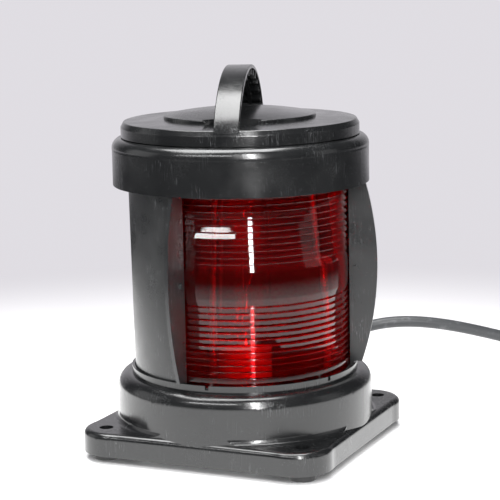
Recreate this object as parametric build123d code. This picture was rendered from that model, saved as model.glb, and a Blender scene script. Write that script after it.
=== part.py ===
from build123d import *
import os
from math import atan2, cos, degrees, hypot, radians, sin, sqrt

# Navigation side light, millimetres.
# Origin: centre of the four fixing holes, on the plane the foot bushes stand on. +Z is up,
# the flange sides lie along X and Y, and the light sector is centred near the (+X, -Y) corner.
# The cable leaves through a gland on the +Y side.

# ---- driving dimensions -------------------------------------------------------------------
HOLE_SPACING = 151.5        # fixing holes, centre to centre, in X and in Y
FIXING_HOLE_R = 5.0
BASE_R = 93.0               # drum of the base
RING_R = 92.4               # wall of the top ring
LENS_R = 77.0               # outside of the lens
FOCAL_Z = 130.1             # height of the lens belt's centre and of the filament
FIT = 0.05                  # radial clearance of a shank or spigot in its hole
OVERCUT = 3                 # length of a cutting block, in sizes of the feature it cuts
SCREW_ROUNDING = 0.4        # of a screw head's rim, as a part of its thickness
SCREW_SLOT_W = 0.3          # of a screw head's slot, as a part of the head's radius
SCREW_SLOT_DEPTH = 0.45     # of the slot, as a part of the head's thickness

# heights of the stack, from the deck up
FLANGE_Z0 = 5.7
FLANGE_Z1 = 22.1
SHELF_Z = 56.1              # top of the base, which carries the lens and the screen
COLLAR_Z = 60.9
LENS_Z0 = 58.1
LENS_Z1 = 202.5
RING_Z0 = 193.5
RING_WALL_Z1 = 218.5
RING_Z1 = 227.0
LID_Z0 = 227.7
HANDLE_TOP_Z = 276.7

# light sector
SECTOR_MID = 318.2          # direction of the middle of the sector, degrees from +X
SECTOR_HALF = 55.5

# flange and base
LUG_CENTRE = 69.0
LUG_R = 25.4
SIDE_HALF = 93.6
NECK_R = 60.0               # S-curve between a lug and a side
FLANGE_EDGE_R = 4.2
DRUM_FOOT_R = 4.0           # hollow fillet between the drum and the lugs
WALL = 4.0
DRUM_WALL = 6.0
SHOULDER_R = 9.8
SHELF_T = 5.0
FIXING_BOSS_R = 11.0
COLLAR_R = 82.5
COLLAR_T = 1.9
COLLAR_NOTCH = 2.6
COLLAR_NOTCH_DEPTH = 3.0
COLLAR_NOTCHES = (275.3, 340.0)
LEDGE_Z0 = 13.7
LEDGE_T = 4.0
LEDGE_R = 78.0
COVER_BOSS_R = 4.4
COVER_BOSS_TOP = 30.5
COVER_SCREWS = 6
COVER_SCREW_PCR = 82.2
COVER_SCREW_R = 1.9
COVER_HEAD_R = 3.4
COVER_HEAD_T = 2.2
COVER_T = 3.0
COVER_R = 86.0
COVER_RIB_T = 2.0
COVER_RIB_RADII = (26.0, 52.0)
GASKET_T = 2.0

# foot bushes
BUSH_R = 9.3
BUSH_SPIGOT_R = 7.0
BUSH_SPIGOT_H = 3.8

# lens
LENS_BORE_R = 71.0
BELT_HALF = 10.3
BELT_CROWN = 0.7
PRISMS = 12
PRISM_PITCH = 4.55
PRISM_DEPTH_FIRST = 1.2
PRISM_DEPTH_LAST = 2.4
LENS_GASKET_R0 = 70.2
LENS_GASKET_R1 = 77.7

# rear screen
SCREEN_BORE_R = 77.9
SCREEN_R_BOTTOM = 80.0
SCREEN_R_TOP = 81.5
SCREEN_Z1 = 203.5
FIN_T = 2.8
FIN_TOP = (90.0, 192.9)
FIN_BELLY = (98.0, 128.5)
FIN_FOOT = (86.6, 61.7)
FIN_PIN_R = 2.0
FIN_PIN_H = 1.6
FIN_PIN_AT = 82.4

# top ring
RING_TOP_R = 86.5
RING_CROWN = (90.8, 224.5)
RING_WALL = 4.0
RING_NECK_WALL = 5.0
RING_DECK_Z0 = 204.5
RING_DECK_T = 4.0
RING_LIP_T = 4.0
LAMP_HATCH_R = 58.0
LID_HATCH_R = 74.0

# tie rods, spaced a quarter turn behind the sector
ROD_R = 3.0
ROD_PCR = 66.0
ROD_ANGLES = (45.0, 135.0, 225.0)
ROD_Z0 = 45.1
ROD_Z1 = 215.3
NUT_AF = 10.0
NUT_T = 4.6
WASHER_R = 6.2
WASHER_T = 1.2

# lid
LID_R = 85.7
LID_SIDE_Z1 = 234.7
LID_BEVEL = (83.6, 238.3)
LID_DISC_R = 54.7
LID_DISC_BASE_Z = 239.7
LID_DISC_EDGE_Z = 241.9
LID_TOP_Z = 247.3
LID_EDGE_R = 0.8
LID_CAVITY = ((0, 228.5), (68.5, 228.5), (68.5, 235.3), (45.0, 235.7), (43.0, 238.5), (0, 242.9))
FOOT_SLOT_W = 33.6          # flat-bottomed slot in the lid's top under each foot of the handle
FOOT_SLOT_R = 48.0          # inner end of the slot
FOOT_SLOT_Z = 238.4
SPIGOT_R0 = 68.5
SPIGOT_R1 = 73.4
SPIGOT_Z0 = 216.1
TAB_R = 79.0
TAB_Z0 = 218.1
TAB_T = 4.0
TAB_SPAN = 26.0
TAB_CLEAR = 3.0             # degrees, at each end of a tab
TAB_GAP = 0.75
TAB_ANGLES = (75.0, 195.0, 315.0)
SEAL_R0 = 78.7
SEAL_R1 = 82.3
SEAL_T = 2.5

# handle, an arch across the lid
HANDLE_DIR = 107.8
HANDLE_W = 17.6
HANDLE_REACH = 85.0
ARCH_A = 92.0               # half axes of the ellipse the outer face follows
ARCH_B = 65.3
HANDLE_PLATE_T = 2.6
HANDLE_DEPTH = 8.0
HANDLE_WEB_T = 2.4
HANDLE_RIBS = 14
HANDLE_RIB_T = 1.8
HANDLE_RIB_SPAN = 126.0
HANDLE_RIB_INSET = 0.8      # rib ends sit this far inside the edges of the plate
HANDLE_EDGE_R = 0.8
HANDLE_PAD = 7.5
HANDLE_SCREW_R = 1.5
HANDLE_SCREW_PCR = 76.2
HANDLE_SCREW_HEAD_R = 2.1
HANDLE_SCREW_HEAD_T = 1.6
HANDLE_SCREW_Z1 = 241.5

# lamp and lamp holder, on the axis
HOLDER_FLANGE_R = 24.0
HOLDER_FLANGE_T = 4.4
HOLDER_R = 19.5
HOLDER_Z1 = 89.5
HOLDER_BORE_R = 14.2
HOLDER_FLOOR_Z = 64.9
HOLDER_EAR_AT = 28.0
HOLDER_EAR_R = 6.0
HOLDER_SCREW_R = 1.8
HOLDER_SCREW_HEAD_R = 3.4
HOLDER_SCREW_HEAD_T = 2.2
HOLDER_SCREW_Z0 = 51.5
SLEEVE_R0 = 13.6
SLEEVE_Z1 = 86.5
CONTACT_T = 0.6
CONTACT_W = 5.0
CONTACT_L = 16.0
CONTACT_RISE = 1.4
CAP_R = 13.2
CAP_ROOT_R = 12.4
CAP_Z0 = 70.5
CAP_Z1 = 92.5
CAP_THREADS = 5
CAP_PITCH = 3.63
CAP_FIRST_RIDGE = 2.2       # height of the lowest ridge above the cap's foot
CAP_SKIN = 0.6
BUTTON_R = 4.5
BUTTON_Z0 = 67.1
BUTTON_T = 1.2
BULB_R = 20.0
BULB_NECK_R = 11.4
BULB_TOP_Z = 169.5
BULB_SKIN = 0.9
STEM_R = 4.0
STEM_FOOT_R = 6.4
STEM_Z1 = 112.5
LEAD_R = 0.45
LEAD_OUT = 7.0
LEAD_BEND_R = 1.35
COIL_R = 1.5
COIL_WIRE_R = 0.3
COIL_PITCH = 1.0
COIL_H = 10.0

# wiring
TERMINAL_BLOCK = (26.0, 16.0, 14.0)
TERMINAL_BLOCK_Y = 50.0
TERMINAL_PITCH = 12.0
TERMINAL_SCREW_R = 2.0
TERMINAL_SCREW_T = 1.2
TERMINAL_SCREW_ROW = 4.0
BLOCK_SCREW_R = 1.5
HOLDER_TERMINAL = (6.0, 4.6, 7.0)
HOLDER_TERMINAL_AT = (6.0, 21.7)
WIRE_R = 1.1
WIRE_END_GAP = 0.6           # wires stop just short of the faces they join
GROMMET_Y = 32.0
GROMMET_R = 5.0
GROMMET_BORE_R = 3.6
GROMMET_LIP_R = 6.4
GROMMET_LIP_T = 1.2
WIRE_LANE = 1.6

# cable gland and cable, on an axis along +Y
GLAND_Z = 35.0
GLAND_PAD_R = 13.6
GLAND_PAD_Y = 95.0
GLAND_THREAD_R = 8.0
GLAND_Y0 = 77.0
GLAND_HEX_AF = 22.0
GLAND_HEX_T = 5.0
GLAND_NOSE_R = 8.4
GLAND_NOSE_Y1 = 111.0
GLAND_SEAL_Y0 = 103.0
GLAND_SEAL_R = 6.5
LOCKNUT_Y0 = 80.4
LOCKNUT_T = 4.8
THRUST_T = 1.6
GLAND_NUT_Y0 = 101.0
GLAND_NUT_Y1 = 117.4
GLAND_NUT_AF = 21.0
GLAND_NUT_DOME = 4.0
GLAND_NUT_ROUNDING = 3.2
CABLE_R = 4.5
CABLE_CLEAR = 0.4
CABLE_Y0 = 70.0
CABLE_STRAIGHT_Y1 = 126.0
CABLE_POINTS = ((30.1, 169.2, 51.5), (124.2, 219.0, 42.5), (177.7, 242.3, 24.5))
CABLE_END_DIR = (1.0, 0.40, -0.38)


# ---- helpers ------------------------------------------------------------------------------
def disc(r, z0, z1):
    return Pos(0, 0, z0) * extrude(Circle(r), z1 - z0)


def tube(r1, r0, z0, z1):
    return Pos(0, 0, z0) * extrude(Circle(r1) - Circle(r0), z1 - z0)


def spun(points):
    """Solid of revolution of a closed (radius, height) outline about Z."""
    outline = Plane.XZ * make_face(Polyline(*points, close=True))
    return revolve(outline, Axis.Z)


def polar(r, deg, z=0.0):
    return Pos(r * cos(radians(deg)), r * sin(radians(deg)), z)


def hexagon(across_flats):
    return RegularPolygon(across_flats / sqrt(3), 6)


def along_y(y0, z):
    """Place that lays +Z work along +Y, starting at y0."""
    return Pos(0, y0, z) * Rot(-90, 0, 0)


def screw_down(head_r, head_t, shank_r, length):
    """Pan-head screw, head above z = 0 and shank below."""
    head = disc(head_r, 0, head_t)
    head = fillet(head.edges().group_by(Axis.Z)[-1], head_t * SCREW_ROUNDING)
    slot = Pos(0, 0, head_t) * Box(OVERCUT * head_r, head_r * SCREW_SLOT_W, 2 * head_t * SCREW_SLOT_DEPTH)
    return head - slot + disc(shank_r, -length, 0)


def wire_through(points):
    path = Spline(*points)
    return sweep(Plane(path @ 0, z_dir=path % 0) * Circle(WIRE_R), path=path)


def corner_places(spacing):
    half = spacing / 2
    return [Pos(x, y, 0) for x in (-half, half) for y in (-half, half)]


# ---- base ---------------------------------------------------------------------------------
def flange_outline():
    """Square plate with a round lug at each corner and S-curved necks."""
    body = Rectangle(2 * SIDE_HALF, 2 * LUG_CENTRE) + Rectangle(2 * LUG_CENTRE, 2 * SIDE_HALF)
    for place in corner_places(2 * LUG_CENTRE):
        body += place * Circle(LUG_R)
    necks = [v for v in body.vertices() if hypot(v.X, v.Y) < hypot(SIDE_HALF, SIDE_HALF)]
    return fillet(necks, NECK_R)


def base_outside():
    slab = extrude(flange_outline(), FLANGE_Z1 - FLANGE_Z0)
    flange = Pos(0, 0, FLANGE_Z0) * fillet(slab.edges().group_by(Axis.Z)[-1], FLANGE_EDGE_R)
    drum = disc(BASE_R, FLANGE_Z0, SHELF_Z)
    drum = fillet(drum.edges().group_by(Axis.Z)[-1], SHOULDER_R)
    pad = along_y(0, GLAND_Z) * disc(GLAND_PAD_R, LEDGE_R, GLAND_PAD_Y)
    return flange + drum + pad + drum_foot()


def drum_foot():
    """Hollow fillet round the foot of the drum, only where the lugs' flat tops carry it."""
    r0 = BASE_R - FIT
    r1 = BASE_R + DRUM_FOOT_R
    z0 = FLANGE_Z1 - FIT
    z1 = FLANGE_Z1 + DRUM_FOOT_R
    dip = DRUM_FOOT_R * (1 - sqrt(0.5))
    hollow = ThreePointArc((BASE_R, z1), (BASE_R + dip, FLANGE_Z1 + dip), (r1, FLANGE_Z1))
    rest = Polyline((r1, FLANGE_Z1), (r1, z0), (r0, z0), (r0, z1), (BASE_R, z1))
    ring = revolve(Plane.XZ * make_face(Wire([*hollow.edges(), *rest.edges()])), Axis.Z)
    return ring & extrude(offset(flange_outline(), -FLANGE_EDGE_R), SHELF_Z)


def lug_pockets():
    inner = offset(flange_outline(), -WALL) - Circle(BASE_R)
    pockets = Pos(0, 0, FLANGE_Z0) * extrude(inner, FLANGE_Z1 - FLANGE_Z0 - WALL)
    for place in corner_places(HOLE_SPACING):
        pockets -= place * disc(FIXING_BOSS_R, 0, FLANGE_Z1)
    return pockets


def wiring_space():
    inner_r = BASE_R - DRUM_WALL
    room = disc(inner_r, FLANGE_Z0, SHELF_Z - SHELF_T)
    room -= tube(inner_r, LEDGE_R, LEDGE_Z0, LEDGE_Z0 + LEDGE_T)
    for place in cover_screw_places():
        room -= place * disc(COVER_BOSS_R, LEDGE_Z0, COVER_BOSS_TOP)
    return room


def cover_screw_places():
    return [polar(COVER_SCREW_PCR, 360 * i / COVER_SCREWS) for i in range(COVER_SCREWS)]


def rod_places():
    return [polar(ROD_PCR, a) for a in ROD_ANGLES]


def collar():
    lip = tube(COLLAR_R, COLLAR_R - COLLAR_T, SHELF_Z - COLLAR_T, COLLAR_Z)
    for a in COLLAR_NOTCHES:
        cut = Box(OVERCUT * COLLAR_T, COLLAR_NOTCH, 2 * COLLAR_NOTCH_DEPTH)
        lip -= polar(COLLAR_R, a, COLLAR_Z) * Rot(0, 0, a) * cut
    return lip


def make_base_housing():
    body = base_outside() + collar() - lug_pockets() - wiring_space()
    for place in corner_places(HOLE_SPACING):
        body -= place * disc(FIXING_HOLE_R, 0, SHELF_Z)
        body -= place * disc(BUSH_SPIGOT_R + FIT, 0, FLANGE_Z0 + BUSH_SPIGOT_H + FIT)
    for place in cover_screw_places():
        body -= place * disc(COVER_SCREW_R + FIT, 0, COVER_BOSS_TOP - COVER_T)
    for place in rod_places():
        body -= place * disc(ROD_R + FIT, LEDGE_Z0, SHELF_Z + FIT)
    for x in (-HOLDER_EAR_AT, HOLDER_EAR_AT):
        body -= Pos(x, 0, 0) * disc(HOLDER_SCREW_R + FIT, LEDGE_Z0, SHELF_Z + FIT)
    body -= Pos(0, GROMMET_Y, 0) * disc(GROMMET_R, LEDGE_Z0, SHELF_Z + FIT)
    body -= Pos(0, TERMINAL_BLOCK_Y, 0) * disc(BLOCK_SCREW_R + FIT, LEDGE_Z0, SHELF_Z - WALL / 2)
    body -= along_y(0, GLAND_Z) * disc(GLAND_THREAD_R + FIT, LEDGE_R - WALL, GLAND_PAD_Y + WALL)
    return body


def make_foot_bushes():
    bushes = []
    for place in corner_places(HOLE_SPACING):
        bush = disc(BUSH_R, 0, FLANGE_Z0) + disc(BUSH_SPIGOT_R, FLANGE_Z0, FLANGE_Z0 + BUSH_SPIGOT_H)
        bushes.append(place * (bush - disc(FIXING_HOLE_R, 0, FLANGE_Z1)))
    return bushes


def make_bottom_cover():
    top = LEDGE_Z0 - GASKET_T
    cover = disc(COVER_R, top - COVER_T, top)
    for r in COVER_RIB_RADII:
        cover += tube(r, r - COVER_RIB_T, top, top + COVER_RIB_T)
    for place in cover_screw_places():
        cover -= place * disc(COVER_SCREW_R + FIT, 0, LEDGE_Z0)
    return cover


def make_bottom_cover_gasket():
    seal = tube(COVER_R, LEDGE_R, LEDGE_Z0 - GASKET_T, LEDGE_Z0)
    for place in cover_screw_places():
        seal -= place * disc(COVER_SCREW_R + FIT, 0, SHELF_Z)
    return seal


def make_bottom_cover_screws():
    head_z = LEDGE_Z0 - GASKET_T - COVER_T
    length = COVER_BOSS_TOP - 2 * COVER_T - head_z
    screw = Rot(180, 0, 0) * screw_down(COVER_HEAD_R, COVER_HEAD_T, COVER_SCREW_R, length)
    return [place * Pos(0, 0, head_z) * screw for place in cover_screw_places()]


# ---- lens and screen ----------------------------------------------------------------------
def prism_outline(sign):
    """Outline of the prisms on one side of the belt; sign is +1 above it and -1 below."""
    points = []
    for i in range(PRISMS):
        z = FOCAL_Z + sign * (BELT_HALF + i * PRISM_PITCH)
        depth = PRISM_DEPTH_FIRST + (PRISM_DEPTH_LAST - PRISM_DEPTH_FIRST) * i / (PRISMS - 1)
        points += [(LENS_R, z), (LENS_R - depth, z + sign * PRISM_PITCH)]
    points.append((LENS_R, points[-1][1]))
    return points


def make_fresnel_lens():
    upper = prism_outline(1)
    lower = prism_outline(-1)
    belt = ThreePointArc(lower[0], (LENS_R + BELT_CROWN, FOCAL_Z), upper[0])
    up_side = Polyline(*upper, (LENS_R, LENS_Z1), (LENS_BORE_R, LENS_Z1))
    down_side = Polyline(*lower, (LENS_R, LENS_Z0), (LENS_BORE_R, LENS_Z0))
    bore = Line((LENS_BORE_R, LENS_Z0), (LENS_BORE_R, LENS_Z1))
    outline = make_face(Wire([*belt.edges(), *up_side.edges(), *bore.edges(), *down_side.edges()]))
    return revolve(Plane.XZ * outline, Axis.Z)


def make_lower_lens_gasket():
    return tube(LENS_GASKET_R1, LENS_GASKET_R0, SHELF_Z, LENS_Z0)


def make_upper_lens_gasket():
    return tube(LENS_GASKET_R1, LENS_GASKET_R0, LENS_Z1, RING_DECK_Z0)


def sector_wedge():
    """Tall prism over the light sector."""
    far = 2 * BASE_R
    a0 = radians(SECTOR_MID - SECTOR_HALF)
    a1 = radians(SECTOR_MID + SECTOR_HALF)
    mid = radians(SECTOR_MID)
    corners = [(0, 0), (far * cos(a0), far * sin(a0))]
    corners += [(2 * far * cos(mid), 2 * far * sin(mid)), (far * cos(a1), far * sin(a1))]
    return extrude(make_face(Polyline(*corners, close=True)), HANDLE_TOP_Z)


def fin(angle, side):
    """Radial light screen in the plane at angle, its thickness on the given side of it."""
    edge = ThreePointArc(FIN_FOOT, FIN_BELLY, FIN_TOP)
    inner_top = (SCREEN_BORE_R, FIN_TOP[1])
    inner_foot = (SCREEN_BORE_R, SHELF_Z)
    foot_step = (SCREEN_R_BOTTOM, SHELF_Z)
    rest = Polyline(FIN_TOP, inner_top, inner_foot, foot_step, (SCREEN_R_BOTTOM, FIN_FOOT[1]), FIN_FOOT)
    outline = make_face(Wire([*edge.edges(), *rest.edges()]))
    plate = extrude(Plane.XZ * outline, side * FIN_T)
    pin = Pos(FIN_PIN_AT, 0, FOCAL_Z) * Rot(90, 0, 0) * disc(FIN_PIN_R, -FIN_PIN_H, FIN_PIN_H)
    return Rot(0, 0, angle) * (plate + pin)


def make_rear_screen():
    outline = [(SCREEN_BORE_R, SHELF_Z), (SCREEN_R_BOTTOM, SHELF_Z)]
    outline += [(SCREEN_R_TOP, SCREEN_Z1), (SCREEN_BORE_R, SCREEN_Z1)]
    shell = spun(outline) - sector_wedge()
    fins = fin(SECTOR_MID - SECTOR_HALF, 1) + fin(SECTOR_MID + SECTOR_HALF, -1)
    return shell + fins


# ---- top ring and tie rods ----------------------------------------------------------------
def make_top_ring():
    crown = ThreePointArc((RING_R, RING_WALL_Z1), RING_CROWN, (RING_TOP_R, RING_Z1))
    inner_r = RING_R - RING_WALL
    neck_r = RING_R - RING_NECK_WALL
    deck_z1 = RING_DECK_Z0 + RING_DECK_T
    lip_z0 = RING_Z1 - RING_LIP_T
    rest = Polyline(
        (RING_TOP_R, RING_Z1), (LID_HATCH_R, RING_Z1), (LID_HATCH_R, lip_z0), (neck_r, lip_z0),
        (neck_r, deck_z1), (LAMP_HATCH_R, deck_z1), (LAMP_HATCH_R, RING_DECK_Z0),
        (inner_r, RING_DECK_Z0), (inner_r, RING_Z0), (RING_R, RING_Z0), (RING_R, RING_WALL_Z1))
    outline = make_face(Wire([*crown.edges(), *rest.edges()]))
    ring = revolve(Plane.XZ * outline, Axis.Z)
    for a in TAB_ANGLES:
        span = TAB_SPAN + 2 * TAB_CLEAR
        ring -= tab_sector(a, TAB_R + TAB_GAP, span, lip_z0 - FIT, RING_LIP_T + 2 * FIT)
    for place in rod_places():
        ring -= place * disc(ROD_R + FIT, RING_DECK_Z0 - FIT, deck_z1 + FIT)
    return ring


def tab_sector(mid, r, span, z0, height):
    """Plate sector from the lid spigot's middle out to r, span degrees wide."""
    ring = tube(r, (SPIGOT_R0 + SPIGOT_R1) / 2, z0, z0 + height)
    a0 = radians(mid - span / 2)
    a1 = radians(mid + span / 2)
    corners = [(0, 0), (2 * r * cos(a0), 2 * r * sin(a0)), (2 * r * cos(a1), 2 * r * sin(a1))]
    return ring & extrude(make_face(Polyline(*corners, close=True)), HANDLE_TOP_Z)


def make_tie_rods():
    return [place * disc(ROD_R, ROD_Z0, ROD_Z1) for place in rod_places()]


def make_tie_nuts():
    nut = extrude(hexagon(NUT_AF) - Circle(ROD_R + FIT), NUT_T)
    heights = (SHELF_Z - SHELF_T - NUT_T, RING_DECK_Z0 + RING_DECK_T + WASHER_T)
    return [place * Pos(0, 0, z) * nut for place in rod_places() for z in heights]


def make_tie_washers():
    z = RING_DECK_Z0 + RING_DECK_T
    return [place * tube(WASHER_R, ROD_R + FIT, z, z + WASHER_T) for place in rod_places()]


# ---- lid and handle -----------------------------------------------------------------------
def foot_slots():
    """Slots across the lid's top under the handle's feet, their walls leaning out at 45 degrees."""
    height = LID_TOP_Z - FOOT_SLOT_Z
    half = FOOT_SLOT_W / 2
    corners = ((-half, 0), (half, 0), (half + height, height), (-half - height, height))
    slot = extrude(Plane.XZ * make_face(Polyline(*corners, close=True)), LID_R)
    slot = Pos(0, -FOOT_SLOT_R, FOOT_SLOT_Z) * slot
    return [Rot(0, 0, HANDLE_DIR + turn) * slot for turn in (90, 270)]


def lid_outside():
    """Lid without its hollow: bevelled rim, shallow cone and a raised disc, slotted for the handle."""
    outline = [(0, LID_Z0), (LID_R, LID_Z0), (LID_R, LID_SIDE_Z1), LID_BEVEL]
    outline += [(LID_DISC_R, LID_DISC_BASE_Z), (0, LID_DISC_BASE_Z)]
    body = spun(outline)
    rim = [e for e in body.edges().filter_by(GeomType.CIRCLE) if e.radius > LID_BEVEL[0] - FIT]
    body = fillet([e for e in rim if e.center().Z > LID_Z0 + FIT], LID_EDGE_R)
    rise = LID_TOP_Z - LID_DISC_EDGE_Z
    crown_r = (LID_DISC_R**2 + rise**2) / (2 * rise)
    crown = Pos(0, 0, LID_TOP_Z - crown_r) * Rot(0, 90, 0) * Sphere(crown_r)
    raised = disc(LID_DISC_R, LID_Z0 + WALL, LID_TOP_Z + WALL) & crown
    body += fillet(raised.faces().sort_by(Axis.Z)[-1].edges(), LID_EDGE_R)
    for slot in foot_slots():
        body -= slot
    return body


def make_lid():
    lid = lid_outside() - spun(LID_CAVITY)
    lid += tube(SPIGOT_R1, SPIGOT_R0, SPIGOT_Z0, LID_Z0 + FIT)
    lid -= tube(SEAL_R1 + FIT, SEAL_R0 - FIT, LID_Z0 - FIT, RING_Z1 + SEAL_T + FIT)
    for a in TAB_ANGLES:
        lid += tab_sector(a, TAB_R, TAB_SPAN, TAB_Z0, TAB_T)
    for place in handle_screw_places():
        lid -= place * disc(HANDLE_SCREW_R + FIT, LID_Z0 - FIT, HANDLE_SCREW_Z1)
        lid -= place * disc(HANDLE_SCREW_HEAD_R + FIT, LID_Z0 - FIT, LID_Z0 + HANDLE_SCREW_HEAD_T)
    return lid


def make_lid_seal():
    return tube(SEAL_R1, SEAL_R0, RING_Z1, RING_Z1 + SEAL_T)


def handle_screw_places():
    return [polar(HANDLE_SCREW_PCR, HANDLE_DIR + turn) for turn in (0, 180)]


def arch_band(outer, inner, width):
    """Part of the arch between two depths below its outer face, in the plane of the X axis."""
    ring = Ellipse(ARCH_A - outer, ARCH_B - outer) - Ellipse(ARCH_A - inner, ARCH_B - inner)
    band = Rot(90, 0, 0) * extrude(ring, width / 2, both=True)
    return Pos(0, 0, HANDLE_TOP_Z - ARCH_B) * band & disc(HANDLE_REACH, LID_Z0, HANDLE_TOP_Z + FIT)


def handle_ribs():
    """Cross ribs at right angles to the arch, both sides of the web."""
    width = HANDLE_W - 2 * HANDLE_RIB_INSET
    space = arch_band(HANDLE_PLATE_T - FIT, HANDLE_DEPTH - HANDLE_RIB_INSET, width)
    blank = Box(HANDLE_RIB_T, HANDLE_W, OVERCUT * HANDLE_DEPTH)
    ribs = []
    for i in range(HANDLE_RIBS):
        t = radians(90 + HANDLE_RIB_SPAN * (i / (HANDLE_RIBS - 1) - 0.5))
        tilt = degrees(atan2(ARCH_B * cos(t), ARCH_A * sin(t)))
        z = HANDLE_TOP_Z - ARCH_B + ARCH_B * sin(t)
        ribs.append(Pos(ARCH_A * cos(t), 0, z) * Rot(0, tilt, 0) * blank & space)
    return ribs


def make_handle():
    """Arch with a T section: outer plate and middle web, braced by cross ribs."""
    plate = arch_band(0, HANDLE_PLATE_T, HANDLE_W)
    outer = [e for e in plate.edges() if (e @ 0.5).Z > HANDLE_TOP_Z - FIT]
    arch = fillet(outer, HANDLE_EDGE_R) + arch_band(HANDLE_PLATE_T - FIT, HANDLE_DEPTH, HANDLE_WEB_T)
    for rib in handle_ribs():
        arch += rib
    pad = Box(HANDLE_PAD, HANDLE_W - 2 * HANDLE_RIB_INSET, 2 * HANDLE_PAD)
    for x in (-HANDLE_SCREW_PCR, HANDLE_SCREW_PCR):
        arch += Pos(x, 0, LID_Z0 + HANDLE_PAD) * pad
    arch = Rot(0, 0, HANDLE_DIR) * arch - lid_outside()
    for place in handle_screw_places():
        arch -= place * disc(HANDLE_SCREW_R + FIT, LID_Z0, HANDLE_SCREW_Z1 + FIT)
    return arch


def make_handle_screws():
    head_z = LID_Z0 + HANDLE_SCREW_HEAD_T
    length = HANDLE_SCREW_Z1 - head_z
    screw = screw_down(HANDLE_SCREW_HEAD_R, HANDLE_SCREW_HEAD_T, HANDLE_SCREW_R, length)
    return [place * Pos(0, 0, head_z) * Rot(180, 0, 0) * screw for place in handle_screw_places()]


# ---- lamp holder --------------------------------------------------------------------------
def make_lamp_holder():
    flange_z1 = SHELF_Z + HOLDER_FLANGE_T
    body = disc(HOLDER_FLANGE_R, SHELF_Z, flange_z1) + disc(HOLDER_R, flange_z1, HOLDER_Z1)
    for x in (-HOLDER_EAR_AT, HOLDER_EAR_AT):
        body += Pos(x, 0, 0) * disc(HOLDER_EAR_R, SHELF_Z, flange_z1)
        body -= Pos(x, 0, 0) * disc(HOLDER_SCREW_R + FIT, SHELF_Z - FIT, flange_z1 + FIT)
    return body - disc(HOLDER_BORE_R, HOLDER_FLOOR_Z, HOLDER_Z1)


def make_holder_screws():
    head_z = SHELF_Z + HOLDER_FLANGE_T
    screw = screw_down(HOLDER_SCREW_HEAD_R, HOLDER_SCREW_HEAD_T, HOLDER_SCREW_R, head_z - HOLDER_SCREW_Z0)
    return [Pos(x, 0, head_z) * screw for x in (-HOLDER_EAR_AT, HOLDER_EAR_AT)]


def make_holder_sleeve():
    return tube(HOLDER_BORE_R - FIT, SLEEVE_R0, HOLDER_FLOOR_Z, SLEEVE_Z1)


def make_holder_contact():
    """Leaf that presses on the lamp's centre contact."""
    foot = Pos(0, 0, HOLDER_FLOOR_Z + CONTACT_T / 2) * Box(CONTACT_L, CONTACT_W, CONTACT_T)
    post = Pos(0, 0, HOLDER_FLOOR_Z + CONTACT_RISE / 2) * Box(CONTACT_W, CONTACT_W, CONTACT_RISE)
    return foot + post


def make_holder_terminals():
    sx, sy, sz = HOLDER_TERMINAL
    x, y = HOLDER_TERMINAL_AT
    z = SHELF_Z + HOLDER_FLANGE_T + sz / 2
    body = disc(HOLDER_R, SHELF_Z, HOLDER_Z1)
    return [Pos(side * x, y, z) * Box(sx, sy, sz) - body for side in (-1, 1)]


# ---- lamp ---------------------------------------------------------------------------------
def make_lamp_cap():
    """Screw shell with rounded ridges, open below for the insulator and above for the glass."""
    shell = tube(CAP_ROOT_R, CAP_ROOT_R - CAP_SKIN, CAP_Z0, CAP_Z1)
    mean_r = CAP_ROOT_R - CAP_SKIN / 2
    ridge = Torus(mean_r, CAP_R - mean_r) - disc(CAP_ROOT_R - CAP_SKIN, -CAP_PITCH, CAP_PITCH)
    for i in range(CAP_THREADS):
        shell += Pos(0, 0, CAP_Z0 + CAP_FIRST_RIDGE + i * CAP_PITCH) * ridge
    return shell


def make_lamp_insulator():
    bore = CAP_ROOT_R - CAP_SKIN - FIT
    z0 = BUTTON_Z0 + BUTTON_T
    z1 = CAP_Z0 + CAP_PITCH
    return spun([(0, z0), (BUTTON_R, z0), (bore, CAP_Z0), (bore, z1), (0, z1)])


def make_lamp_button():
    button = disc(BUTTON_R, BUTTON_Z0, BUTTON_Z0 + BUTTON_T)
    return fillet(button.edges().group_by(Axis.Z)[0], BUTTON_T / 2)


def bulb_solid(shrink):
    """Glass envelope's outline, made smaller all round by shrink, as a solid."""
    neck_z = CAP_Z1 - CAP_PITCH + shrink
    neck_r = BULB_NECK_R - shrink
    wide_r = BULB_R - shrink
    waist_z = CAP_Z1 + CAP_PITCH
    wide_z = FOCAL_Z - BULB_R
    top_z = BULB_TOP_Z - shrink
    dome_z = BULB_TOP_Z - BULB_R
    up = Polyline((0, neck_z), (neck_r, neck_z), (neck_r, waist_z))
    flare = Spline((neck_r, waist_z), (wide_r, wide_z), tangents=((0, 1), (0, 1)))
    side = Line((wide_r, wide_z), (wide_r, dome_z))
    dome = RadiusArc((wide_r, dome_z), (0, top_z), -wide_r)
    axis = Line((0, top_z), (0, neck_z))
    curves = (up, flare, side, dome, axis)
    outline = make_face(Wire([e for c in curves for e in c.edges()]))
    return revolve(Plane.XZ * outline, Axis.Z)


def make_lamp_glass():
    return bulb_solid(0) - bulb_solid(BULB_SKIN)


def make_lamp_stem():
    z0 = CAP_Z1 - CAP_PITCH + BULB_SKIN
    outline = [(0, z0), (STEM_FOOT_R, z0), (STEM_R, z0 + STEM_R), (STEM_R, STEM_Z1), (0, STEM_Z1)]
    return spun(outline)


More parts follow.
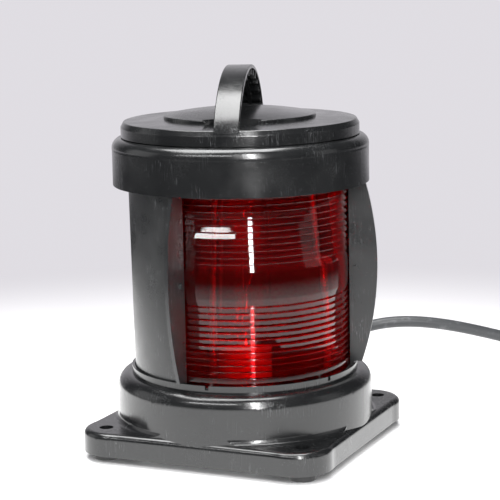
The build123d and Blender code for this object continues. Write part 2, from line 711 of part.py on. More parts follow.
def make_lead_wires():
    """Two leads from the stem: a short one below the coil and a long one round to its top."""
    low_z = FOCAL_Z - COIL_H / 2 - COIL_R
    high_z = FOCAL_Z + COIL_H / 2 + COIL_R
    foot_z = STEM_Z1 + WIRE_END_GAP
    short = Polyline((0, 0, foot_z), (0, 0, low_z))
    corners = ((STEM_R / 2, 0, foot_z), (LEAD_OUT, 0, low_z), (LEAD_OUT, 0, high_z), (0, 0, high_z))
    tall = FilletPolyline(*corners, radius=LEAD_BEND_R)
    leads = []
    for path in (short, tall):
        leads.append(sweep(Plane(path @ 0, z_dir=path % 0) * Circle(LEAD_R), path=path))
    return leads


def make_filament():
    coil = Helix(COIL_PITCH, COIL_H, COIL_R)
    wire = sweep(Plane(coil @ 0, z_dir=coil % 0) * Circle(COIL_WIRE_R), path=coil, is_frenet=True)
    return Pos(0, 0, FOCAL_Z - COIL_H / 2) * wire


# ---- wiring -------------------------------------------------------------------------------
def block_centre_z():
    return SHELF_Z - SHELF_T - TERMINAL_BLOCK[2] / 2


def make_terminal_block():
    sx, sy, sz = TERMINAL_BLOCK
    block = Pos(0, TERMINAL_BLOCK_Y, block_centre_z()) * Box(sx, sy, sz)
    low = block_centre_z() - sz / 2
    for place in terminal_screw_places():
        block -= place * disc(TERMINAL_SCREW_R + FIT, low - FIT, low + 2 * TERMINAL_SCREW_T)
    return block - Pos(0, TERMINAL_BLOCK_Y, 0) * disc(BLOCK_SCREW_R + FIT, 0, SHELF_Z)


def terminal_screw_places():
    xs = (-TERMINAL_PITCH / 2, TERMINAL_PITCH / 2)
    ys = (TERMINAL_BLOCK_Y - TERMINAL_SCREW_ROW, TERMINAL_BLOCK_Y + TERMINAL_SCREW_ROW)
    return [Pos(x, y, 0) for x in xs for y in ys]


def make_terminal_screws():
    low = block_centre_z() - TERMINAL_BLOCK[2] / 2
    head = disc(TERMINAL_SCREW_R, low + TERMINAL_SCREW_T, low + 2 * TERMINAL_SCREW_T)
    bar = Box(OVERCUT * TERMINAL_SCREW_R, TERMINAL_SCREW_R * SCREW_SLOT_W, TERMINAL_SCREW_T)
    slot = Pos(0, 0, low + TERMINAL_SCREW_T) * bar
    return [place * (head - slot) for place in terminal_screw_places()]


def make_terminal_block_screw():
    low = block_centre_z() - TERMINAL_BLOCK[2] / 2
    length = SHELF_Z - WALL - low
    screw = screw_down(2 * BLOCK_SCREW_R, BLOCK_SCREW_R, BLOCK_SCREW_R, length)
    return Pos(0, TERMINAL_BLOCK_Y, low) * Rot(180, 0, 0) * screw


def make_wire_grommet():
    body = disc(GROMMET_R - FIT, SHELF_Z - SHELF_T - GROMMET_LIP_T, SHELF_Z + GROMMET_LIP_T)
    body += disc(GROMMET_LIP_R, SHELF_Z, SHELF_Z + GROMMET_LIP_T)
    body += disc(GROMMET_LIP_R, SHELF_Z - SHELF_T - GROMMET_LIP_T, SHELF_Z - SHELF_T)
    return Pos(0, GROMMET_Y, 0) * (body - disc(GROMMET_BORE_R, 0, HOLDER_Z1))


def make_wire(side):
    """One colour's two lengths: cable to terminal block, and block to lamp holder."""
    x = side * TERMINAL_PITCH / 2
    z = block_centre_z()
    half = TERMINAL_BLOCK[1] / 2
    y_in = TERMINAL_BLOCK_Y + half
    y_out = TERMINAL_BLOCK_Y - half
    core = [(side * WIRE_LANE, CABLE_Y0 - WIRE_END_GAP, GLAND_Z)]
    core += [(side * 2 * WIRE_LANE, CABLE_Y0 - WALL, GLAND_Z)]
    core += [(x, y_in + WALL / 2, z), (x, y_in + WIRE_END_GAP, z)]
    lane = side * WIRE_LANE
    tx, ty = HOLDER_TERMINAL_AT
    tz = SHELF_Z + HOLDER_FLANGE_T + HOLDER_TERMINAL[2] / 2
    face_y = ty + HOLDER_TERMINAL[1] / 2
    rise = [(x, y_out - WIRE_END_GAP, z), (x, y_out - WALL / 2, z), (lane, GROMMET_Y, SHELF_Z - SHELF_T)]
    rise += [(lane, GROMMET_Y, SHELF_Z + GROMMET_LIP_T), (side * tx, face_y + WALL / 2, tz)]
    rise.append((side * tx, face_y + WIRE_END_GAP, tz))
    return [wire_through(core), wire_through(rise)]


# ---- cable gland and cable ----------------------------------------------------------------
def gland_axis(y0):
    return along_y(y0, GLAND_Z)


def make_gland_body():
    hex_y1 = GLAND_PAD_Y + GLAND_HEX_T
    body = gland_axis(GLAND_Y0) * disc(GLAND_THREAD_R, 0, GLAND_PAD_Y - GLAND_Y0)
    body += gland_axis(GLAND_PAD_Y) * extrude(hexagon(GLAND_HEX_AF), GLAND_HEX_T)
    body += gland_axis(hex_y1) * disc(GLAND_NOSE_R, 0, GLAND_NOSE_Y1 - hex_y1)
    body -= gland_axis(0) * disc(CABLE_R + CABLE_CLEAR, GLAND_Y0 - FIT, GLAND_NOSE_Y1)
    return body - gland_axis(0) * disc(GLAND_SEAL_R + FIT, GLAND_SEAL_Y0, GLAND_NOSE_Y1)


def make_gland_locknut():
    ring = hexagon(GLAND_HEX_AF) - Circle(GLAND_THREAD_R + FIT)
    return gland_axis(LOCKNUT_Y0) * extrude(ring, LOCKNUT_T)


def make_gland_seal():
    return gland_axis(0) * tube(GLAND_SEAL_R, CABLE_R + FIT, GLAND_SEAL_Y0, GLAND_NOSE_Y1)


def make_gland_thrust_ring():
    z1 = GLAND_NOSE_Y1 + THRUST_T
    return gland_axis(0) * tube(GLAND_NOSE_R, CABLE_R + CABLE_CLEAR, GLAND_NOSE_Y1 + FIT, z1)


def make_gland_nut():
    dome_y0 = GLAND_NUT_Y1 - GLAND_NUT_DOME
    nut = gland_axis(GLAND_NUT_Y0) * extrude(hexagon(GLAND_NUT_AF), dome_y0 - GLAND_NUT_Y0)
    dome = disc(GLAND_NUT_AF / 2, dome_y0, GLAND_NUT_Y1)
    dome = fillet(dome.edges().group_by(Axis.Z)[-1], GLAND_NUT_ROUNDING)
    nut += gland_axis(0) * dome
    nut -= gland_axis(0) * disc(GLAND_NOSE_R + FIT, GLAND_NUT_Y0 - FIT, GLAND_NOSE_Y1 + THRUST_T + FIT)
    return nut - gland_axis(0) * disc(CABLE_R + CABLE_CLEAR, GLAND_NUT_Y0, GLAND_NUT_Y1 + FIT)


def make_cable():
    start = (0, CABLE_Y0, GLAND_Z)
    bend = (0, CABLE_STRAIGHT_Y1, GLAND_Z)
    straight = Line(start, bend)
    tail = Spline(bend, *CABLE_POINTS, tangents=((0, 1, 0), CABLE_END_DIR))
    path = Wire([*straight.edges(), *tail.edges()])
    return sweep(Plane(start, z_dir=(0, 1, 0)) * Circle(CABLE_R), path=path)


# ---- write one file per node --------------------------------------------------------------
NODES = {
    "base_housing": make_base_housing,
    "foot_bushes": make_foot_bushes,
    "bottom_cover": make_bottom_cover,
    "bottom_cover_gasket": make_bottom_cover_gasket,
    "bottom_cover_screws": make_bottom_cover_screws,
    "fresnel_lens": make_fresnel_lens,
    "lower_lens_gasket": make_lower_lens_gasket,
    "upper_lens_gasket": make_upper_lens_gasket,
    "rear_screen": make_rear_screen,
    "top_ring": make_top_ring,
    "tie_rods": make_tie_rods,
    "tie_nuts": make_tie_nuts,
    "tie_washers": make_tie_washers,
    "lid": make_lid,
    "lid_seal": make_lid_seal,
    "handle": make_handle,
    "handle_screws": make_handle_screws,
    "lamp_holder": make_lamp_holder,
    "holder_screws": make_holder_screws,
    "holder_sleeve": make_holder_sleeve,
    "holder_contact": make_holder_contact,
    "holder_terminals": make_holder_terminals,
    "lamp_cap": make_lamp_cap,
    "lamp_insulator": make_lamp_insulator,
    "lamp_button": make_lamp_button,
    "lamp_glass": make_lamp_glass,
    "lamp_stem": make_lamp_stem,
    "lead_wires": make_lead_wires,
    "filament": make_filament,
    "terminal_block": make_terminal_block,
    "terminal_screws": make_terminal_screws,
    "terminal_block_screw": make_terminal_block_screw,
    "wire_grommet": make_wire_grommet,
    "wire_brown": lambda: make_wire(-1),
    "wire_blue": lambda: make_wire(1),
    "gland_body": make_gland_body,
    "gland_locknut": make_gland_locknut,
    "gland_seal": make_gland_seal,
    "gland_thrust_ring": make_gland_thrust_ring,
    "gland_nut": make_gland_nut,
    "cable": make_cable,
}

os.makedirs("parts", exist_ok=True)
for name, make in NODES.items():
    shape = make()
    if isinstance(shape, list):
        shape = Compound(children=[solid for piece in shape for solid in piece.solids()])
    export_step(shape, f"parts/{name}.step")
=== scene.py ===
import math

import bmesh
import bpy
from mathutils import Matrix, Quaternion, Vector


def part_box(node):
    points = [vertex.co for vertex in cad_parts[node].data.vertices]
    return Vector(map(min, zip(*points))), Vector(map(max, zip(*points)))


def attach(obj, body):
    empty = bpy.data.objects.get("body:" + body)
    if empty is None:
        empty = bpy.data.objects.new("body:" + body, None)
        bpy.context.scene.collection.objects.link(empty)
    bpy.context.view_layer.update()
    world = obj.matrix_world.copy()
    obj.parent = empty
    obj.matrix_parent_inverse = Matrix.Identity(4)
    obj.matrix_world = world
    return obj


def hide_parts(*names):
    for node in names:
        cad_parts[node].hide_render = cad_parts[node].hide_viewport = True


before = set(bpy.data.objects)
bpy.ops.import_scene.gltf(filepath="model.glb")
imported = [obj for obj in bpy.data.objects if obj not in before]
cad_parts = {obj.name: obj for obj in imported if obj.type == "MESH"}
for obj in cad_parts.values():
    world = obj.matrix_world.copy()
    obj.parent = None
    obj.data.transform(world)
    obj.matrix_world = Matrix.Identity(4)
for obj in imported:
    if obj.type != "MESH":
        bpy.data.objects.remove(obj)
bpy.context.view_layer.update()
MM = 0.001


# ---- places read from the frame ------------------------------------------------------------
def box_mm(node):
    lo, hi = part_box(node)
    return [v / MM for v in lo], [v / MM for v in hi]


LENS_LO, LENS_HI = box_mm("fresnel_lens")
COIL_LO, COIL_HI = box_mm("filament")
FOCAL_Z = (COIL_LO[2] + COIL_HI[2]) / 2


# ---- node helpers --------------------------------------------------------------------------
class Nodes:
    """Short names for building one material's node tree."""

    def __init__(self, name):
        self.mat = bpy.data.materials.new(name)
        self.mat.use_nodes = True
        self.tree = self.mat.node_tree
        self.tree.nodes.clear()
        self.out = self.add("ShaderNodeOutputMaterial")
        self.place = self.add("ShaderNodeTexCoord").outputs["Object"]

    def add(self, kind, **settings):
        node = self.tree.nodes.new(kind)
        for key, value in settings.items():
            setattr(node, key, value)
        return node

    def link(self, a, b):
        self.tree.links.new(a, b)

    def put(self, socket, value):
        if isinstance(value, bpy.types.NodeSocket):
            self.link(value, socket)
        else:
            socket.default_value = value

    def noise(self, scale, detail=3.0, rough=0.55, vector=None):
        node = self.add("ShaderNodeTexNoise")
        self.put(node.inputs["Vector"], vector or self.place)
        self.put(node.inputs["Scale"], scale)
        self.put(node.inputs["Detail"], detail)
        self.put(node.inputs["Roughness"], rough)
        return node.outputs["Fac"]

    def cells(self, scale, feature="F1", vector=None):
        node = self.add("ShaderNodeTexVoronoi", feature=feature)
        self.put(node.inputs["Vector"], vector or self.place)
        self.put(node.inputs["Scale"], scale)
        return node.outputs["Distance"]

    def ramp(self, value, lo, hi, out_lo=0.0, out_hi=1.0):
        node = self.add("ShaderNodeMapRange", clamp=True)
        self.put(node.inputs["Value"], value)
        for key, v in (("From Min", lo), ("From Max", hi), ("To Min", out_lo), ("To Max", out_hi)):
            self.put(node.inputs[key], v)
        return node.outputs["Result"]

    def ease(self, value, lo, hi):
        """0 below lo, 1 above hi, with soft ends."""
        node = self.add("ShaderNodeMapRange", clamp=True, interpolation_type="SMOOTHSTEP")
        for key, v in (("Value", value), ("From Min", lo), ("From Max", hi)):
            self.put(node.inputs[key], v)
        return node.outputs["Result"]

    def math(self, op, a, b=0.0):
        node = self.add("ShaderNodeMath", operation=op)
        self.put(node.inputs[0], a)
        self.put(node.inputs[1], b)
        return node.outputs[0]

    def mix(self, fac, a, b):
        node = self.add("ShaderNodeMix", data_type="RGBA")
        self.put(node.inputs["Factor"], fac)
        self.put(node.inputs["A"], a)
        self.put(node.inputs["B"], b)
        return node.outputs["Result"]

    def bump(self, height, distance, strength=1.0, normal=None):
        node = self.add("ShaderNodeBump")
        self.put(node.inputs["Height"], height)
        self.put(node.inputs["Distance"], distance)
        self.put(node.inputs["Strength"], strength)
        if normal is not None:
            self.put(node.inputs["Normal"], normal)
        return node.outputs["Normal"]

    def stretch(self, scale, turn=(0.0, 0.0, 0.0)):
        node = self.add("ShaderNodeMapping")
        self.put(node.inputs["Vector"], self.place)
        self.put(node.inputs["Scale"], scale)
        self.put(node.inputs["Rotation"], turn)
        return node.outputs["Vector"]

    def scratches(self, scale, thin, turn):
        """Sparse straight hairlines: thin where a stretched noise crosses its middle."""
        wavy = self.noise(1.0, 2.0, 0.5, self.stretch((scale, scale, scale * 0.04), turn))
        line = self.math("ABSOLUTE", self.math("SUBTRACT", wavy, 0.5))
        return self.ramp(line, 0.0, thin, 1.0, 0.0)

    def surface(self, **values):
        shader = self.add("ShaderNodeBsdfPrincipled")
        for key, value in values.items():
            self.put(shader.inputs[key.replace("_", " ")], value)
        return shader

    def finish(self, shader):
        self.link(shader.outputs[0], self.out.inputs["Surface"])
        return self.mat


def rgb(r, g, b):
    return (r, g, b, 1.0)


# ---- materials -----------------------------------------------------------------------------
SCRATCH_THIN = 0.004        # how close to its middle the stretched noise draws a hairline
WORN_GREY = (0.16, 0.165, 0.17)
PLASTIC_IOR = 1.62
LENS_IOR = 1.49
GLASS_IOR = 1.5
LENS_GLOW = 0.12            # share of the lens that scatters light instead of passing it


def black_plastic(name, base=0.008, rough=0.21, wear=1.0):
    """Moulded plastic: soft orange peel, hairline scratches and dust specks, both paler by wear."""
    n = Nodes(name)
    cloud = n.noise(38.0, 4.0)
    fine = n.noise(1900.0, 2.0)
    peel = n.noise(260.0, 3.0)
    steep = n.scratches(420.0, SCRATCH_THIN, (0.5, 0.2, 0.1))
    flat = n.scratches(330.0, SCRATCH_THIN, (1.3, 0.7, 0.4))
    lines = n.math("MULTIPLY", n.math("MAXIMUM", steep, flat), n.ramp(n.noise(55.0), 0.50, 0.62))
    dust = n.ramp(n.cells(520.0), 0.06, 0.11, 1.0, 0.0)
    dust = n.math("MULTIPLY", dust, n.ramp(n.noise(70.0, 2.0), 0.52, 0.60))
    dark = rgb(base * 0.8, base * 0.85, base * 0.9)
    tint = n.mix(cloud, dark, rgb(base * 1.3, base * 1.35, base * 1.4))
    marks = n.math("MULTIPLY", n.math("MAXIMUM", lines, dust), 0.5 * wear)
    tint = n.mix(marks, tint, rgb(*WORN_GREY))
    broad = n.ramp(cloud, 0.3, 0.7, rough - 0.05, rough + 0.07)
    matt = n.math("ADD", broad, n.ramp(fine, 0.3, 0.7, -0.03, 0.03))
    matt = n.math("ADD", matt, n.math("MULTIPLY", marks, 0.3))
    relief = n.bump(peel, 0.00006, 0.55)
    relief = n.bump(fine, 0.000012, 0.6, relief)
    relief = n.bump(lines, -0.00002, 0.8, relief)
    return n.finish(n.surface(Base_Color=tint, Roughness=matt, IOR=PLASTIC_IOR, Normal=relief))


def red_lens():
    """Deep red clear plastic with faint flow lines and a little haze."""
    n = Nodes("red_lens")
    flow = n.noise(1.0, 3.0, 0.5, n.stretch((24.0, 24.0, 60.0)))
    haze = n.noise(420.0, 3.0)
    relief = n.bump(flow, 0.0004, 0.08)
    relief = n.bump(haze, 0.00001, 0.5, relief)
    glass = n.surface(
        Base_Color=rgb(0.92, 0.012, 0.014), Roughness=n.ramp(haze, 0.3, 0.7, 0.02, 0.06), IOR=LENS_IOR,
        Transmission_Weight=1.0, Normal=relief)
    glow = n.add("ShaderNodeBsdfTranslucent")
    n.put(glow.inputs["Color"], rgb(0.75, 0.008, 0.008))
    both = n.add("ShaderNodeMixShader")
    n.put(both.inputs["Fac"], LENS_GLOW)
    n.link(glass.outputs[0], both.inputs[1])
    n.link(glow.outputs[0], both.inputs[2])
    return n.finish(both)


def clear_glass():
    n = Nodes("clear_glass")
    relief = n.bump(n.noise(60.0, 2.0), 0.0003, 0.3)
    smear = n.ramp(n.noise(90.0, 4.0), 0.45, 0.7, 0.0, 0.08)
    return n.finish(n.surface(
        Base_Color=rgb(0.95, 0.97, 0.97), Roughness=smear, IOR=GLASS_IOR,
        Transmission_Weight=1.0, Normal=relief))


def rubber(name, base=0.02):
    n = Nodes(name)
    grain = n.noise(900.0, 4.0)
    cloud = n.noise(60.0)
    tint = n.mix(cloud, rgb(base, base, base), rgb(base * 2, base * 2, base * 2.05))
    relief = n.bump(grain, 0.00004, 0.7)
    matt = n.ramp(cloud, 0.3, 0.7, 0.55, 0.75)
    return n.finish(n.surface(Base_Color=tint, Roughness=matt, Normal=relief))


def sheath():
    """Cable sheath: slightly glossy, with a fine grain and a few pale rubs."""
    n = Nodes("cable_sheath")
    grain = n.noise(700.0, 4.0)
    rub = n.ramp(n.noise(110.0, 3.0), 0.56, 0.68)
    tint = n.mix(rub, rgb(0.035, 0.037, 0.04), rgb(0.075, 0.078, 0.082))
    relief = n.bump(grain, 0.00005, 0.5)
    matt = n.ramp(grain, 0.3, 0.7, 0.38, 0.55)
    return n.finish(n.surface(Base_Color=tint, Roughness=matt, Normal=relief))


def metal(name, colour, rough=0.3):
    n = Nodes(name)
    turned = n.noise(1.0, 2.0, 0.6, n.stretch((300.0, 300.0, 3000.0)))
    stain = n.ramp(n.noise(150.0, 4.0), 0.5, 0.75)
    r, g, b = colour
    tint = n.mix(stain, rgb(r, g, b), rgb(r * 0.62, g * 0.58, b * 0.52))
    relief = n.bump(turned, 0.00002, 0.5)
    broad = n.ramp(turned, 0.3, 0.7, rough - 0.06, rough + 0.06)
    matt = n.math("ADD", broad, n.math("MULTIPLY", stain, 0.15))
    return n.finish(n.surface(Base_Color=tint, Metallic=1.0, Roughness=matt, Normal=relief))


def porcelain():
    n = Nodes("porcelain")
    speck = n.ramp(n.cells(380.0), 0.05, 0.1, 1.0, 0.0)
    tint = n.mix(n.math("MULTIPLY", speck, 0.35), rgb(0.82, 0.80, 0.75), rgb(0.35, 0.30, 0.24))
    relief = n.bump(n.noise(120.0), 0.0001, 0.3)
    return n.finish(n.surface(Base_Color=tint, Roughness=0.18, Coat_Weight=0.5, Normal=relief))


def plain_plastic(name, colour, rough=0.45):
    n = Nodes(name)
    r, g, b = colour
    cloud = n.noise(90.0)
    tint = n.mix(cloud, rgb(r * 0.85, g * 0.85, b * 0.85), rgb(r * 1.1, g * 1.1, b * 1.1))
    relief = n.bump(n.noise(800.0, 3.0), 0.00003, 0.6)
    matt = n.ramp(cloud, 0.3, 0.7, rough - 0.06, rough + 0.06)
    return n.finish(n.surface(Base_Color=tint, Roughness=matt, Normal=relief))


# ---- lens ----------------------------------------------------------------------------------
LENS_TURNS = 320            # facets round the lens
LENS_OUTER = LENS_HI[0] - 0.7   # the prisms' crests; the belt of the CAD lens stands 0.7 prouder
RIM_BEVEL = 0.4
BELT_STEPS = 16
BELT_HALF = 10.3
BELT_CROWN = 0.22
PRISM_PITCH = 4.55
PRISMS = 12
DEPTH_FIRST = 1.2
DEPTH_LAST = 2.4
CREST_R = 0.45
CREST_STEPS = 5
SHARP_ANGLE = math.radians(20)   # keeps each prism face flat up to its crest
BORE_R = 71.0


def crest(r, z, sign):
    """Rounded outer corner of a prism, from its ledge to its sloping face."""
    points = []
    for step in range(CREST_STEPS + 1):
        a = math.radians(90 * (1 - step / CREST_STEPS))
        out = CREST_R * (math.cos(a) - 1)
        points.append((r + out, z + sign * CREST_R * (1 - math.sin(a))))
    return points


def prism_side(sign):
    """Outline of the prisms from the belt outwards; sign is +1 above the belt and -1 below."""
    outer = LENS_OUTER
    points = []
    for i in range(PRISMS):
        z = FOCAL_Z + sign * (BELT_HALF + i * PRISM_PITCH)
        depth = DEPTH_FIRST + (DEPTH_LAST - DEPTH_FIRST) * i / (PRISMS - 1)
        if i:
            points += crest(outer, z, sign)
        else:
            points.append((outer, z))
        points.append((outer - depth, z + sign * PRISM_PITCH))
    end = FOCAL_Z + sign * (BELT_HALF + PRISMS * PRISM_PITCH)
    rim = LENS_HI[2] if sign > 0 else LENS_LO[2]
    bevel = [(outer, rim - sign * RIM_BEVEL), (outer - RIM_BEVEL, rim)]
    return points + crest(outer, end, sign) + bevel


def spin_mesh(name, outline, turns):
    """Closed mesh of revolution of an (r, z) outline in millimetres, sharp only at real corners."""
    bm = bmesh.new()
    rings = []
    for k in range(turns):
        a = 2 * math.pi * k / turns
        x, y = math.cos(a) * MM, math.sin(a) * MM
        rings.append([bm.verts.new((r * x, r * y, z * MM)) for r, z in outline])
    count = len(outline)
    for k in range(turns):
        here, there = rings[k], rings[(k + 1) % turns]
        for i in range(count):
            j = (i + 1) % count
            face = bm.faces.new((here[i], there[i], there[j], here[j]))
            face.smooth = True
    bmesh.ops.recalc_face_normals(bm, faces=bm.faces)
    mesh = bpy.data.meshes.new(name)
    bm.to_mesh(mesh)
    bm.free()
    mesh.set_sharp_from_angle(angle=SHARP_ANGLE)
    piece = bpy.data.objects.new(name, mesh)
    bpy.context.collection.objects.link(piece)
    return piece


def make_lens(material):
    upper = prism_side(1)
    lower = prism_side(-1)
    belt = []
    for i in range(1, BELT_STEPS):
        t = 2 * i / BELT_STEPS - 1
        belt.append((LENS_OUTER + BELT_CROWN * (1 - t * t), FOCAL_Z + BELT_HALF * t))
    bore = [(BORE_R + RIM_BEVEL, LENS_HI[2]), (BORE_R, LENS_HI[2] - RIM_BEVEL)]
    bore += [(BORE_R, LENS_LO[2] + RIM_BEVEL), (BORE_R + RIM_BEVEL, LENS_LO[2])]
    lens = spin_mesh("lens_drum", lower[::-1] + belt + upper + bore, LENS_TURNS)
    lens.data.materials.append(material)
    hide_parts("fresnel_lens")
    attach(lens, "housing")


def paint(node, material):
    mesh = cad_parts[node].data
    mesh.materials.clear()
    mesh.materials.append(material)


def paint_nodes():
    plastic = black_plastic("housing_plastic")
    scuffed = black_plastic("scuffed_plastic", 0.013, 0.30, 1.8)
    seal = rubber("black_rubber")
    steel = metal("stainless", (0.62, 0.62, 0.61), 0.28)
    brass = metal("brass", (0.78, 0.57, 0.25), 0.25)
    nickel = metal("nickel", (0.72, 0.70, 0.66), 0.2)
    gland = plain_plastic("gland_plastic", (0.022, 0.022, 0.024), 0.4)
    glass = clear_glass()
    groups = [
        (plastic, "base_housing bottom_cover top_ring lid handle"),
        (scuffed, "rear_screen"),
        (seal, "foot_bushes bottom_cover_gasket lower_lens_gasket upper_lens_gasket lid_seal"),
        (seal, "wire_grommet gland_seal"),
        (steel, "bottom_cover_screws tie_rods tie_nuts tie_washers"),
        (steel, "handle_screws holder_screws terminal_block_screw"),
        (brass, "holder_sleeve holder_contact holder_terminals terminal_screws"),
        (nickel, "lamp_cap lead_wires"),
        (metal("tungsten", (0.25, 0.25, 0.26), 0.45), "filament"),
        (metal("solder", (0.55, 0.55, 0.56), 0.5), "lamp_button"),
        (gland, "gland_body gland_locknut gland_nut gland_thrust_ring"),
        (glass, "lamp_glass lamp_stem"),
        (porcelain(), "lamp_holder"),
        (plain_plastic("terminal_plastic", (0.74, 0.72, 0.66)), "terminal_block"),
        (plain_plastic("brown_wire", (0.20, 0.08, 0.03)), "wire_brown"),
        (plain_plastic("blue_wire", (0.03, 0.12, 0.42)), "wire_blue"),
        (plain_plastic("black_glass", (0.02, 0.02, 0.022), 0.1), "lamp_insulator"),
        (sheath(), "cable"),
    ]
    for material, names in groups:
        for node in names.split():
            paint(node, material)


# ---- stage ---------------------------------------------------------------------------------
VIEW_AZIMUTH = math.radians(24.3)   # the main camera's direction; the stage and lights follow it
FLOOR_R = 14.0
FLOOR_SIDES = 96
FLOOR_PAPER = (0.9, 0.9, 0.905)
WHITE_REACH = 0.12          # radius of the brightest floor, metres; it is room grey past the next
FADE_REACH = 0.74
ROOM_GREY = (0.745, 0.725, 0.765)
ROOM_DARK = (0.035, 0.036, 0.040)
TABLE_GLOW = 2.3            # brightness of the near floor as the glossy plastic mirrors it
GLOW_REACH = 0.30           # the mirrored floor is bright to here and dark beyond the next reach
GLOW_END = 0.85
FAR_FLOOR = (1.0, 1.6)      # metres behind the object where the mirrored floor turns room grey
BACK_WALL = (0.72, 0.96)    # how squarely a direction points behind to see the grey room


def behind(n, vector, lo, hi):
    """0 on the camera's side of the object, 1 behind it, from a position or direction."""
    node = n.add("ShaderNodeVectorMath", operation="DOT_PRODUCT")
    n.link(vector, node.inputs[0])
    node.inputs[1].default_value = (-math.sin(VIEW_AZIMUTH), math.cos(VIEW_AZIMUTH), 0.0)
    return n.ramp(node.outputs["Value"], lo, hi)


def emission(n, colour, strength=1.0):
    node = n.add("ShaderNodeEmission")
    n.put(node.inputs["Color"], colour)
    n.put(node.inputs["Strength"], strength)
    return node.outputs[0]


def mix_shaders(n, fac, a, b):
    node = n.add("ShaderNodeMixShader")
    n.put(node.inputs["Fac"], fac)
    n.link(a, node.inputs[1])
    n.link(b, node.inputs[2])
    return node.outputs[0]


def make_floor():
    """Round floor: lit white paper near the light, fading to the room's even grey."""
    mesh = bpy.data.meshes.new("floor")
    bm = bmesh.new()
    bmesh.ops.create_circle(bm, cap_ends=True, radius=FLOOR_R, segments=FLOOR_SIDES)
    bm.to_mesh(mesh)
    bm.free()
    floor = bpy.data.objects.new("floor", mesh)
    bpy.context.collection.objects.link(floor)
    n = Nodes("floor_paper")
    reach = n.add("ShaderNodeVectorMath", operation="LENGTH")
    n.link(n.place, reach.inputs[0])
    fade = n.ease(reach.outputs["Value"], WHITE_REACH, FADE_REACH)
    dim = n.ease(reach.outputs["Value"], GLOW_REACH, GLOW_END)
    paper = n.add("ShaderNodeBsdfDiffuse")
    n.put(paper.inputs["Color"], rgb(*FLOOR_PAPER))
    seen = mix_shaders(n, fade, paper.outputs[0], emission(n, rgb(*ROOM_GREY)))
    far = n.mix(behind(n, n.place, *FAR_FLOOR), rgb(*ROOM_DARK), rgb(*ROOM_GREY))
    near = n.mix(dim, rgb(TABLE_GLOW, TABLE_GLOW, TABLE_GLOW), far)
    path = n.add("ShaderNodeLightPath")
    mirrored = mix_shaders(n, path.outputs["Is Glossy Ray"], seen, emission(n, near))
    n.link(mirrored, n.out.inputs["Surface"])
    mesh.materials.append(n.mat)


def make_world():
    """Even grey room as the camera sees it; dark in front of the object as the plastic sees it."""
    world = bpy.data.worlds.new("room")
    bpy.context.scene.world = world
    world.use_nodes = True
    tree = world.node_tree
    tree.nodes.clear()
    out = tree.nodes.new("ShaderNodeOutputWorld")
    coord = tree.nodes.new("ShaderNodeTexCoord")
    dot = tree.nodes.new("ShaderNodeVectorMath")
    dot.operation = "DOT_PRODUCT"
    dot.inputs[1].default_value = (-math.sin(VIEW_AZIMUTH), math.cos(VIEW_AZIMUTH), 0.0)
    back = tree.nodes.new("ShaderNodeMapRange")
    back.inputs["From Min"].default_value = BACK_WALL[0]
    back.inputs["From Max"].default_value = BACK_WALL[1]
    tint = tree.nodes.new("ShaderNodeMix")
    tint.data_type = "RGBA"
    tint.inputs["A"].default_value = rgb(*ROOM_DARK)
    tint.inputs["B"].default_value = rgb(*ROOM_GREY)
    room = tree.nodes.new("ShaderNodeBackground")
    seen = tree.nodes.new("ShaderNodeBackground")
    seen.inputs["Color"].default_value = rgb(*ROOM_GREY)
    path = tree.nodes.new("ShaderNodeLightPath")
    both = tree.nodes.new("ShaderNodeMixShader")
    tree.links.new(coord.outputs["Generated"], dot.inputs[0])
    tree.links.new(dot.outputs["Value"], back.inputs["Value"])
    tree.links.new(back.outputs["Result"], tint.inputs["Factor"])
    tree.links.new(tint.outputs["Result"], room.inputs["Color"])
    tree.links.new(path.outputs["Is Camera Ray"], both.inputs["Fac"])
    tree.links.new(room.outputs[0], both.inputs[1])
    tree.links.new(seen.outputs[0], both.inputs[2])
    tree.links.new(both.outputs[0], out.inputs["Surface"])


def from_camera(x, y, z):
    """Point x to the camera's right and y away from it, in the row frame."""
    c, s = math.cos(VIEW_AZIMUTH), math.sin(VIEW_AZIMUTH)
    return Vector((x * c - y * s, x * s + y * c, z))


def panel(name, place, aim, width, height, glow, tilt=0.0):
    """Rectangular light of a given brightness, facing aim; a tilt lifts its right end."""
    data = bpy.data.lights.new(name, "AREA")
    data.shape = "RECTANGLE"
    data.size = width
    data.size_y = height
    data.energy = glow * math.pi * width * height
    light = bpy.data.objects.new(name, data)
    light.location = place
    light.rotation_mode = "QUATERNION"
    turn = Quaternion((0, 0, 1), math.radians(tilt))
    light.rotation_quaternion = (aim - place).to_track_quat("-Z", "Y") @ turn
    bpy.context.collection.objects.link(light)
    return light


def bearing(azimuth, elevation, distance, z):
    """Place seen from height z on the axis, at an azimuth right of the camera and an elevation."""
    a = math.radians(azimuth)
    e = math.radians(elevation)
    flat = distance * math.cos(e)
    return from_camera(flat * math.sin(a), -flat * math.cos(a), z + distance * math.sin(e))


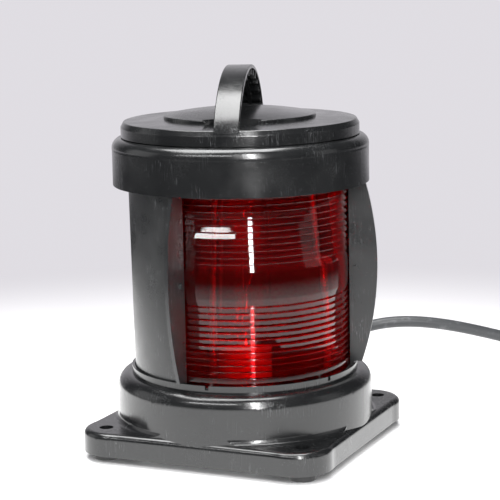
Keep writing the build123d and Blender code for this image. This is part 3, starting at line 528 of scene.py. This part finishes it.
OVERHEAD_AT = (-0.28, 0.10)
OVERHEAD_Z = 1.75
OVERHEAD_SIZE = (1.55, 1.12)
OVERHEAD_GLOW = 10.5
SIDE_LIGHTS = (
    # degrees right of the camera, degrees up, distance, height aimed at, width, height, glow, tilt
    ("front_strip", 9.5, 27.0, 2.0, 0.14, 0.14, 1.9, 62.0, 0.0),
    ("left_bar", -33.0, 34.7, 1.6, 0.17, 1.18, 0.105, 22.0, 8.6),
    ("left_wall", -100.0, 15.0, 2.0, 0.14, 1.2, 1.2, 0.7, 0.0),
    ("right_wall", 80.0, 15.0, 2.0, 0.14, 0.8, 1.2, 0.5, 0.0),
)


def make_lights():
    above = from_camera(*OVERHEAD_AT, OVERHEAD_Z)
    below = from_camera(*OVERHEAD_AT, 0)
    top = panel("overhead", above, below, *OVERHEAD_SIZE, OVERHEAD_GLOW)
    top.rotation_mode = "XYZ"
    top.rotation_euler = (0, 0, VIEW_AZIMUTH)
    for name, azimuth, elevation, distance, aim_z, width, height, glow, tilt in SIDE_LIGHTS:
        place = bearing(azimuth, elevation, distance, aim_z)
        panel(name, place, Vector((0, 0, aim_z)), width, height, glow, tilt)


# ---- camera --------------------------------------------------------------------------------
CAMERA_DISTANCE = 1.289
CAMERA_HEIGHT = 0.3671
CAMERA_YAW = math.radians(0.24)
CAMERA_PITCH = math.radians(9.89)
CAMERA_ROLL = math.radians(-1.15)
CAMERA_LENS = 129.6


def make_camera():
    data = bpy.data.cameras.new("camera")
    data.lens = CAMERA_LENS
    data.sensor_width = 36.0
    data.clip_start = 0.05
    data.clip_end = 60.0
    cp = math.cos(CAMERA_PITCH)
    ahead = Vector((math.sin(CAMERA_YAW) * cp, math.cos(CAMERA_YAW) * cp, -math.sin(CAMERA_PITCH)))
    right = Vector((math.cos(CAMERA_YAW), -math.sin(CAMERA_YAW), 0))
    up = right.cross(ahead)
    tilted_right = right * math.cos(CAMERA_ROLL) + up * math.sin(CAMERA_ROLL)
    tilted_up = up * math.cos(CAMERA_ROLL) - right * math.sin(CAMERA_ROLL)
    turn = Matrix((tilted_right, tilted_up, -ahead)).transposed().to_4x4()
    place = Matrix.Translation((0, -CAMERA_DISTANCE, CAMERA_HEIGHT))
    camera = bpy.data.objects.new("camera", data)
    camera.matrix_world = Matrix.Rotation(VIEW_AZIMUTH, 4, "Z") @ place @ turn
    bpy.context.collection.objects.link(camera)
    bpy.context.scene.camera = camera


# ---- build ---------------------------------------------------------------------------------
paint_nodes()
make_lens(red_lens())
make_floor()
make_world()
make_lights()
make_camera()
bpy.context.scene.view_settings.view_transform = "Standard"
